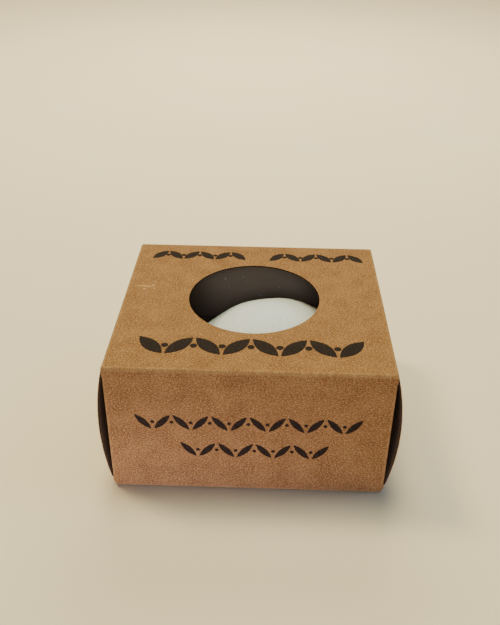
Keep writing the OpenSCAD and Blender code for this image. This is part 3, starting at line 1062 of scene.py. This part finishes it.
# Places of the crumbs on the inside of the back panel: across and up
CRUMB_PLACES = [
    (-4.3 * MM, 31.3 * MM), (-10.8 * MM, 30.3 * MM), (-3.3 * MM, 29.3 * MM), (-9.4 * MM, 27 * MM),
    (8.6 * MM, 27.2 * MM), (0.9 * MM, 24.1 * MM), (1.6 * MM, 23.8 * MM), (2.3 * MM, 23.6 * MM),
    (-11.3 * MM, 18.9 * MM), (-15 * MM, 15.7 * MM),
]
CRUMB_SIZE = 0.16 * MM

# How much a crumb may be stretched, how lumpy it is and how far apart its lumps are, how far its middle
# stands off the wall as a share of its size, and the seed of the draws
CRUMB_STRETCH = (0.6, 1.5)
CRUMB_LUMP = 0.35
CRUMB_LUMP_SPACING = 0.12 * MM
CRUMB_PROUD = 0.35
CRUMB_SEED = 5


class MESH_OT_crumbs(bpy.types.Operator):
    """Make the crumbs of foam that cling to the inside of the back panel."""

    bl_idname = "mesh.sponge_crumbs"
    bl_label = "Crumbs"

    def execute(self, context):
        draw = random.Random(CRUMB_SEED)
        wall = CARTON_D / 2 - BOARD_T
        parts = []
        for across, up in CRUMB_PLACES:
            bpy.ops.mesh.primitive_ico_sphere_add(subdivisions=3, radius=CRUMB_SIZE)
            crumb = context.object
            stretch = [draw.uniform(*CRUMB_STRETCH) for _ in range(3)]
            own = Vector((across, up, 0)) / MM
            for vertex in crumb.data.vertices:
                bump = 1 + CRUMB_LUMP * noise.noise(vertex.co / CRUMB_LUMP_SPACING + own)
                vertex.co = Vector([vertex.co[k] * stretch[k] * bump for k in range(3)])
            crumb.location = (across, wall - CRUMB_SIZE * CRUMB_PROUD, up)
            parts.append(crumb)
        bpy.ops.object.select_all(action="DESELECT")
        for crumb in parts:
            crumb.select_set(True)
        context.view_layer.objects.active = parts[0]
        bpy.ops.object.join()
        crumbs = context.object
        bpy.ops.object.transform_apply(location=True)
        crumbs.name = crumbs.data.name = "sponge_crumbs"
        crumbs.data.shade_smooth()
        crumbs.data.materials.append(bpy.data.materials["konjac_foam_freeze_dried"])
        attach(crumbs, "carton")
        return {"FINISHED"}


class MATERIAL_OT_glue_line(bpy.types.Operator):
    """Give the glue line in the seam its finish."""

    bl_idname = "material.glue_line"
    bl_label = "Glue Line"

    def execute(self, context):
        line = frame["nodes"]["glue_line"]
        line.data.materials.clear()
        line.data.materials.append(white_glue_dried(context.scene.sponge))
        return {"FINISHED"}


# Radius of the paper floor
FLOOR_R = 1.15

# The camera: the height of its sensor in millimetres, and the nearest that it sees
SENSOR_HEIGHT = 36
NEAREST = 5 * MM

# What the lamps face: the carton's middle, the floor behind it, and the foot of its front
MIDDLE = (0, 0, CARTON_H / 2)
BEHIND = (0, 0.3, 0)
FOOT = (-0.005, FRONT_LOW.y, 0.008)

# The lamps: name, place, what it faces, width, height, the setting of its colour, and what it lights. The
# setting of its power is its name with _power.
LAMPS = [
    ("left", (-1.8, 1.0, 3.2), MIDDLE, 0.8, 0.8, "warm", "all"),
    ("right", (1.3, 0.1, 1.5), MIDDLE, 0.6, 0.6, "cool", "all"),
    ("top", (-0.1, 0.24, 1.5), MIDDLE, 0.5, 0.5, "pale", "all"),
    ("back", (0, 0.48, 0.4), BEHIND, 0.38, 0.38, "soft", "all"),
    ("front", (0, -0.9, 0.5), MIDDLE, 0.34, 0.34, "cool", "pieces"),
    ("low", (-0.018, -0.077, 0.005), FOOT, 0.1, 0.008, "bounce", "pieces"),
    ("fill", (0, -3.0, 1.62), MIDDLE, 1.13, 1.13, "daylight", "floor"),
]


def add_softbox(name, place, target, width, height, power, colour):
    """A rectangular area light that faces its target."""
    lamp = bpy.data.lights.new(name, "AREA")
    lamp.shape = "RECTANGLE"
    lamp.size = width
    lamp.size_y = height
    lamp.energy = power
    lamp.color = colour
    softbox = bpy.data.objects.new(name, lamp)
    softbox.location = place
    softbox.visible_camera = False
    softbox.rotation_euler = (Vector(target) - Vector(place)).to_track_quat("-Z", "Y").to_euler()
    bpy.context.scene.collection.objects.link(softbox)
    return softbox


def lit_group(name, floor, floor_state):
    """A collection that tells a lamp to light the floor alone (INCLUDE) or all but the floor (EXCLUDE)."""
    group = bpy.data.collections.new(name)
    group.objects.link(floor)
    group.collection_objects[0].light_linking.link_state = floor_state
    return group


class SCENE_OT_studio(bpy.types.Operator):
    """Set up the pale floor, the soft lights and the camera."""

    bl_idname = "scene.studio"
    bl_label = "Studio"

    def execute(self, context):
        stage = context.scene.stage
        bpy.ops.mesh.primitive_circle_add(vertices=128, radius=FLOOR_R, fill_type="NGON")
        floor = context.object
        floor.name = floor.data.name = "paper_floor"
        floor.data.materials.append(studio_paper_calendered(stage))
        world = bpy.data.worlds.new("studio")
        world.use_nodes = True
        background = world.node_tree.nodes["Background"]
        background.inputs["Color"].default_value = opaque(stage.sky)
        seen = add_node(world.node_tree, "LightPath", {}, "Is Camera Ray")
        strengths = {"Value": seen, "To Min": stage.sky_strength, "To Max": stage.sky_seen}
        strength = add_node(world.node_tree, "MapRange", strengths)
        world.node_tree.links.new(strength, background.inputs["Strength"])
        context.scene.world = world
        groups = {
            "pieces": lit_group("all_but_the_floor", floor, "EXCLUDE"),
            "floor": lit_group("floor_alone", floor, "INCLUDE"),
        }
        for name, place, target, width, height, colour, lights in LAMPS:
            softbox = add_softbox(
                f"{name}_softbox", place, target, width, height,
                getattr(stage, f"{name}_power"), getattr(stage, colour))
            if lights in groups:
                softbox.light_linking.receiver_collection = groups[lights]
        camera = bpy.data.cameras.new("camera")
        camera.sensor_fit = "VERTICAL"
        camera.sensor_height = SENSOR_HEIGHT
        camera.lens = stage.focal_length
        camera.clip_start = NEAREST
        viewer = bpy.data.objects.new("camera", camera)
        turn = Matrix.Rotation(stage.camera_turn, 4, "Z")
        dip = Matrix.Rotation(math.pi / 2 - stage.camera_dip, 4, "X")
        roll = Matrix.Rotation(stage.camera_roll, 4, "Z")
        viewer.matrix_world = Matrix.Translation(stage.camera_place) @ turn @ dip @ roll
        context.scene.collection.objects.link(viewer)
        context.scene.camera = viewer
        return {"FINISHED"}


class VIEW3D_PT_konjac_sponge(bpy.types.Panel):
    """Lists the pieces and their settings."""

    bl_label = "Konjac Sponge"
    bl_idname = "VIEW3D_PT_konjac_sponge"
    bl_space_type = "VIEW_3D"
    bl_region_type = "UI"
    bl_category = "Konjac Sponge"

    def draw(self, context):
        for step in STEPS:
            self.layout.operator(step.bl_idname)
        for name, group in SETTINGS.items():
            box = self.layout.box()
            box.label(text=group.__doc__)
            for key in group.__annotations__:
                box.prop(getattr(context.scene, name), key)


SETTINGS = {"board": BoardSettings, "sponge": SpongeSettings, "stage": StageSettings}
STEPS = (
    MESH_OT_carton_wrap, MESH_OT_end_closures, MESH_OT_dust_flaps, MATERIAL_OT_glue_line,
    MESH_OT_konjac_sponge, MESH_OT_crumbs, SCENE_OT_studio,
)
CLASSES = (*SETTINGS.values(), *STEPS, VIEW3D_PT_konjac_sponge)


def register():
    """Registers the classes and puts the settings on the scene."""
    for one in CLASSES:
        bpy.utils.register_class(one)
    for name, group in SETTINGS.items():
        setattr(bpy.types.Scene, name, PointerProperty(type=group))


def unregister():
    """Takes the settings and the classes away again."""
    for name in SETTINGS:
        delattr(bpy.types.Scene, name)
    for one in reversed(CLASSES):
        bpy.utils.unregister_class(one)


def main():
    """Makes every piece and the stage."""
    register()
    bpy.ops.mesh.carton_wrap()
    bpy.ops.mesh.end_closures()
    bpy.ops.mesh.dust_flaps()
    bpy.ops.material.glue_line()
    bpy.ops.mesh.konjac_sponge()
    bpy.ops.mesh.sponge_crumbs()
    bpy.ops.scene.studio()


if __name__ == "__main__":
    main()
